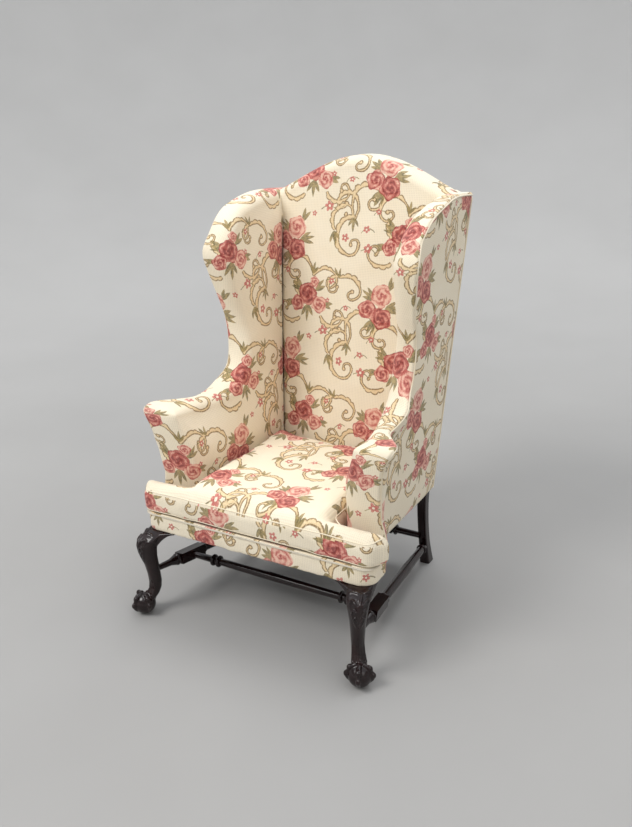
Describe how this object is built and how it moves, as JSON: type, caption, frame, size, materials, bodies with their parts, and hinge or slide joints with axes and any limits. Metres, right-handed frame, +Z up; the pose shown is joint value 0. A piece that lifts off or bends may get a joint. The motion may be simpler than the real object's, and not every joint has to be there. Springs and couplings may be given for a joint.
{
  "type": "wing armchair",
  "caption": "Upholstered wing chair with arched back, flared arms, loose T-shaped seat cushion, cabriole claw-foot front legs and turned stretchers.",
  "frame": {"origin": "on the floor, under the middle of the chair's overall length and width", "axes": "+Z up, the sitter faces -Y, +X is the sitter's left-hand side"},
  "size_m": [0.7352, 0.7955, 1.1784],
  "materials": {
    "dark_mahogany": "high gloss, very dark red-brown polish",
    "beech_frame": "bare sawn",
    "printed_cloth": "matt ribbed weave printed with rose bunches and scrolling leaves",
    "wadding": "soft felted",
    "jute": "coarse woven",
    "calico": "plain weave",
    "black_cambric": "thin matt cloth",
    "steel": "plain",
    "zip": "satin"
  },
  "bodies": {
    "chair": {"front_leg_left": "dark_mahogany", "front_leg_right": "dark_mahogany", "rear_leg_left": "dark_mahogany", "rear_leg_right": "dark_mahogany", "front_knee_bracket_left": "dark_mahogany", "front_knee_bracket_right": "dark_mahogany", "side_knee_bracket_left": "dark_mahogany", "side_knee_bracket_right": "dark_mahogany", "side_stretcher_left": "dark_mahogany", "side_stretcher_right": "dark_mahogany", "cross_stretcher": "dark_mahogany", "rear_stretcher": "dark_mahogany", "front_seat_rail": "beech_frame", "side_seat_rail_left": "beech_frame", "side_seat_rail_right": "beech_frame", "rear_seat_rail": "beech_frame", "corner_blocks": "beech_frame", "corner_screws": "steel", "crest_rail": "beech_frame", "lower_back_rail": "beech_frame", "arm_post_left": "beech_frame", "arm_post_right": "beech_frame", "arm_rail_left": "beech_frame", "arm_rail_right": "beech_frame", "arm_tack_rail_left": "beech_frame", "arm_tack_rail_right": "beech_frame", "wing_post_left": "beech_frame", "wing_post_right": "beech_frame", "wing_rail_left": "beech_frame", "wing_rail_right": "beech_frame", "seat_webbing": "jute", "seat_springs": "steel", "spring_hessian": "jute", "deck_pad": "wadding", "deck_cover": "calico", "dust_cover": "black_cambric", "back_webbing": "jute", "back_stuffing": "wadding", "inside_back_cover": "printed_cloth", "outside_back_wadding": "wadding", "outside_back_cover": "printed_cloth", "side_stuffing_left": "wadding", "side_stuffing_right": "wadding", "inside_wing_cover_left": "printed_cloth", "inside_wing_cover_right": "printed_cloth", "edge_roll_left": "wadding", "edge_roll_right": "wadding", "outside_wing_cover_left": "printed_cloth", "outside_wing_cover_right": "printed_cloth", "arm_facing_left": "printed_cloth", "arm_facing_right": "printed_cloth", "rail_cover": "printed_cloth"},
    "cushion": {"cushion_core": "wadding", "cushion_top_cover": "printed_cloth", "cushion_boxing_band": "printed_cloth", "cushion_bottom_cover": "printed_cloth", "cushion_zip": "zip"}
  },
  "joints": [
    {"name": "cushion_lift_out", "type": "slide", "parent": "chair", "child": "cushion", "axis": [0, -0.9397, 0.342], "range_m": [0, 0.56]}
  ]
}
